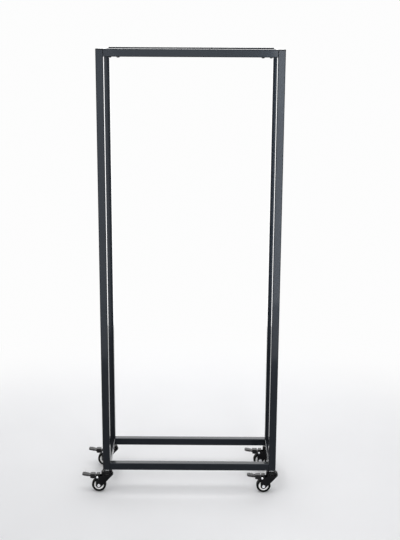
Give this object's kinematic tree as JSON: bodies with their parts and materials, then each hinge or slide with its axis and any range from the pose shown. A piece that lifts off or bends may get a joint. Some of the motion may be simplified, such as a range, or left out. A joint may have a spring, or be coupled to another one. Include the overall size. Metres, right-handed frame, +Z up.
{
  "type": "log store",
  "caption": "Tall open log store of square steel tube: upright posts, bolted long rails and welded side rails, on swivel castors with foot brakes.",
  "frame": {"origin": "on the floor, midway between the four posts", "axes": "+Z up, +X along the long rails to the right as seen from the front, +Y from front to rear"},
  "size_m": [0.6836, 0.259, 1.515],
  "materials": {
    "frame_paint": "satin powder coat, dark slate",
    "screw_black": "black zinc",
    "cap_plastic": "moulded, fine grain",
    "insert_plastic": "moulded",
    "zinc": "bright zinc plate",
    "castor_black": "gloss black",
    "bearing_steel": "greased steel",
    "core_plastic": "moulded, pale grey",
    "tyre_rubber": "matt rubber",
    "pedal_plastic": "moulded, glossy"
  },
  "bodies": {
    "frame": {"front_left_post": "frame_paint", "front_right_post": "frame_paint", "rear_left_post": "frame_paint", "rear_right_post": "frame_paint", "left_bottom_side_rail": "frame_paint", "right_bottom_side_rail": "frame_paint", "bottom_front_rail": "frame_paint", "bottom_rear_rail": "frame_paint", "left_top_side_rail": "frame_paint", "right_top_side_rail": "frame_paint", "top_front_rail": "frame_paint", "top_rear_rail": "frame_paint", "rail_spigots": "frame_paint", "rail_screws": "screw_black", "post_caps": "cap_plastic", "castor_inserts": "insert_plastic", "castor_stems": "zinc", "stem_nuts": "zinc", "swivel_cups": "castor_black", "swivel_bearings": "bearing_steel"},
    "front_left_castor": {"front_left_fork": "castor_black", "front_left_axle_bolt": "zinc", "front_left_axle_nut": "zinc", "front_left_axle_bush": "bearing_steel", "front_left_brake_rivet": "zinc"},
    "front_left_wheel": {"front_left_wheel_core": "core_plastic", "front_left_tyre": "tyre_rubber"},
    "front_left_brake": {"front_left_brake_pedal": "pedal_plastic"},
    "front_right_castor": {"front_right_fork": "castor_black", "front_right_axle_bolt": "zinc", "front_right_axle_nut": "zinc", "front_right_axle_bush": "bearing_steel", "front_right_brake_rivet": "zinc"},
    "front_right_wheel": {"front_right_wheel_core": "core_plastic", "front_right_tyre": "tyre_rubber"},
    "front_right_brake": {"front_right_brake_pedal": "pedal_plastic"},
    "rear_left_castor": {"rear_left_fork": "castor_black", "rear_left_axle_bolt": "zinc", "rear_left_axle_nut": "zinc", "rear_left_axle_bush": "bearing_steel", "rear_left_brake_rivet": "zinc"},
    "rear_left_wheel": {"rear_left_wheel_core": "core_plastic", "rear_left_tyre": "tyre_rubber"},
    "rear_left_brake": {"rear_left_brake_pedal": "pedal_plastic"},
    "rear_right_castor": {"rear_right_fork": "castor_black", "rear_right_axle_bolt": "zinc", "rear_right_axle_nut": "zinc", "rear_right_axle_bush": "bearing_steel", "rear_right_brake_rivet": "zinc"},
    "rear_right_wheel": {"rear_right_wheel_core": "core_plastic", "rear_right_tyre": "tyre_rubber"},
    "rear_right_brake": {"rear_right_brake_pedal": "pedal_plastic"}
  },
  "joints": [
    {"name": "front_left_swivel", "type": "hinge", "parent": "frame", "child": "front_left_castor", "pos_m": [-0.2875, -0.1075, 0.066], "axis": [0, 0, 1], "continuous": true},
    {"name": "front_left_roll", "type": "hinge", "parent": "front_left_castor", "child": "front_left_wheel", "pos_m": [-0.3155, -0.1075, 0.025], "axis": [0, 1, 0], "continuous": true},
    {"name": "front_left_brake_press", "type": "hinge", "parent": "front_left_castor", "child": "front_left_brake", "pos_m": [-0.3205, -0.1075, 0.0545], "axis": [0, -1, 0], "range_deg": [0, 22]},
    {"name": "front_right_swivel", "type": "hinge", "parent": "frame", "child": "front_right_castor", "pos_m": [0.2875, -0.1075, 0.066], "axis": [0, 0, 1], "continuous": true},
    {"name": "front_right_roll", "type": "hinge", "parent": "front_right_castor", "child": "front_right_wheel", "pos_m": [0.2595, -0.1075, 0.025], "axis": [0, 1, 0], "continuous": true},
    {"name": "front_right_brake_press", "type": "hinge", "parent": "front_right_castor", "child": "front_right_brake", "pos_m": [0.2545, -0.1075, 0.0545], "axis": [0, -1, 0], "range_deg": [0, 22]},
    {"name": "rear_left_swivel", "type": "hinge", "parent": "frame", "child": "rear_left_castor", "pos_m": [-0.2875, 0.1075, 0.066], "axis": [0, 0, 1], "continuous": true},
    {"name": "rear_left_roll", "type": "hinge", "parent": "rear_left_castor", "child": "rear_left_wheel", "pos_m": [-0.3155, 0.1075, 0.025], "axis": [0, 1, 0], "continuous": true},
    {"name": "rear_left_brake_press", "type": "hinge", "parent": "rear_left_castor", "child": "rear_left_brake", "pos_m": [-0.3205, 0.1075, 0.0545], "axis": [0, -1, 0], "range_deg": [0, 22]},
    {"name": "rear_right_swivel", "type": "hinge", "parent": "frame", "child": "rear_right_castor", "pos_m": [0.2875, 0.1075, 0.066], "axis": [0, 0, 1], "continuous": true},
    {"name": "rear_right_roll", "type": "hinge", "parent": "rear_right_castor", "child": "rear_right_wheel", "pos_m": [0.2595, 0.1075, 0.025], "axis": [0, 1, 0], "continuous": true},
    {"name": "rear_right_brake_press", "type": "hinge", "parent": "rear_right_castor", "child": "rear_right_brake", "pos_m": [0.2545, 0.1075, 0.0545], "axis": [0, -1, 0], "range_deg": [0, 22]}
  ]
}
